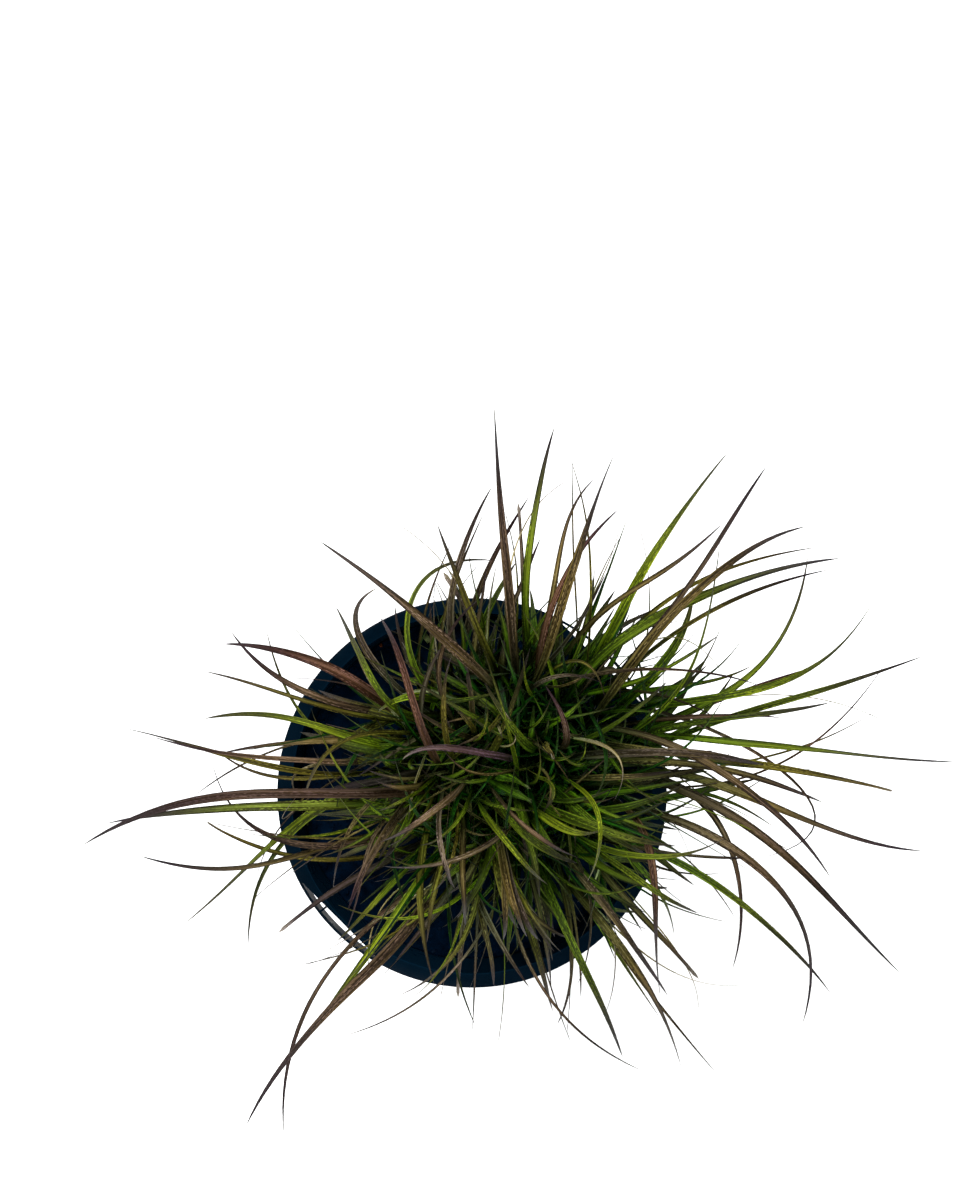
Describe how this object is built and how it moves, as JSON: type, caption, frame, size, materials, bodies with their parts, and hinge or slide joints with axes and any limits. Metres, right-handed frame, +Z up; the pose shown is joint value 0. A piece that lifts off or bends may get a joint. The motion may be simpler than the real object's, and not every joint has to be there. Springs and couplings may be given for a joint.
{
  "type": "potted fountain grass",
  "caption": "Clump of arching, tapering grass blades on short leafy stems, growing in a soil-filled round nursery pot with a finger-grip rim.",
  "frame": {"origin": "centre of the pot's flat base, on the surface that the pot stands on", "axes": "+Z up along the pot's axis; X through the two finger grips in the rim; seen in the picture, which looks straight down, its right is (0.7071, -0.7071, 0) and its top is (0.7071, 0.7071, 0)"},
  "size_m": [0.4977, 0.4422, 0.3873],
  "materials": {
    "pot": "satin moulded plastic, nearly black with a blue cast",
    "soil": "damp, crumbly potting mix of peat and fine bark",
    "grass": "satin leaf with fine lengthwise ribs, green at the foot, olive and purple further out"
  },
  "bodies": {
    "root": {"pot": "pot", "soil": "soil", "leafy_stem_01": "grass", "leafy_stem_02": "grass", "leafy_stem_03": "grass", "leafy_stem_04": "grass", "leafy_stem_05": "grass", "leafy_stem_06": "grass", "leafy_stem_07": "grass", "leafy_stem_08": "grass", "leafy_stem_09": "grass", "leafy_stem_10": "grass", "leafy_stem_11": "grass", "leafy_stem_12": "grass", "leafy_stem_13": "grass", "leafy_stem_14": "grass", "leafy_stem_15": "grass", "leafy_stem_16": "grass", "leafy_stem_17": "grass", "leafy_stem_18": "grass", "leafy_stem_19": "grass", "leafy_stem_20": "grass", "leafy_stem_21": "grass", "leafy_stem_22": "grass", "leafy_stem_23": "grass", "leafy_stem_24": "grass", "leafy_stem_25": "grass", "leafy_stem_26": "grass", "leafy_stem_27": "grass", "leafy_stem_28": "grass", "leafy_stem_29": "grass", "leafy_stem_30": "grass", "leafy_stem_31": "grass", "leafy_stem_32": "grass", "leafy_stem_33": "grass", "leafy_stem_34": "grass", "leafy_stem_35": "grass", "leafy_stem_36": "grass", "leafy_stem_37": "grass", "leafy_stem_38": "grass", "leafy_stem_39": "grass", "leafy_stem_40": "grass", "leafy_stem_41": "grass", "leafy_stem_42": "grass", "leafy_stem_43": "grass", "leafy_stem_44": "grass"}
  },
  "joints": []
}
